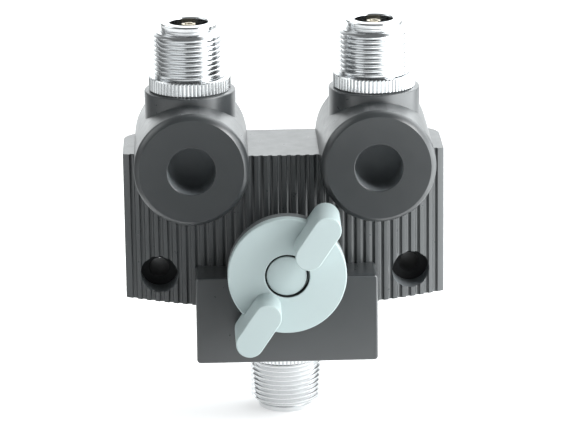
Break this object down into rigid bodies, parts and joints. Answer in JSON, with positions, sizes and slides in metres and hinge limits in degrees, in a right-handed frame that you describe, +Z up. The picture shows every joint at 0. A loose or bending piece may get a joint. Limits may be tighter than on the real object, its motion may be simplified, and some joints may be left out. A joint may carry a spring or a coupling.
{
  "type": "coaxial antenna switch",
  "caption": "Coaxial antenna switch: ribbed grey cast body, threaded outlets on top, a common inlet below and a winged knob that picks the outlet.",
  "frame": {"origin": "on the back face, midway between the two mounting holes", "axes": "+X to the right as the knob is seen, +Y away from the viewer into the wall, +Z up towards the two outlets"},
  "size_m": [0.0704, 0.045, 0.0886],
  "materials": {
    "housing_paint": "semi-gloss dark grey paint on die-cast aluminium",
    "nickel_plate": "bright nickel plate on brass",
    "white_insulator": "white fluoroplastic",
    "gold_plate": "gold plate",
    "silver_plate": "silver plate on brass",
    "brass": "plain brass",
    "steel": "plain steel",
    "knob_plastic": "satin pale grey-green moulded plastic"
  },
  "bodies": {
    "switch_body": {"housing": "housing_paint", "rear_cover": "housing_paint", "cover_screws": "steel", "left_connector_shell": "nickel_plate", "right_connector_shell": "nickel_plate", "inlet_connector_shell": "nickel_plate", "left_lock_ring": "nickel_plate", "right_lock_ring": "nickel_plate", "inlet_lock_ring": "nickel_plate", "left_insulator": "white_insulator", "right_insulator": "white_insulator", "inlet_insulator": "white_insulator", "left_center_contact": "gold_plate", "right_center_contact": "gold_plate", "inlet_center_contact": "gold_plate", "left_line": "silver_plate", "right_line": "silver_plate", "inlet_line": "silver_plate", "shaft_bush": "brass", "detent_ball": "steel", "detent_spring": "steel", "stop_pin": "steel"},
    "knob_assembly": {"rotor_shaft": "steel", "shaft_clip": "steel", "rotor": "white_insulator", "moving_contact": "silver_plate", "contact_rivets": "brass", "knob": "knob_plastic", "knob_screw": "steel", "knob_cap": "knob_plastic"}
  },
  "joints": [
    {"name": "knob_turn", "type": "hinge", "parent": "switch_body", "child": "knob_assembly", "pos_m": [0, -0.0315, 0.004], "axis": [0, -1, 0], "range_deg": [0, 68]}
  ]
}
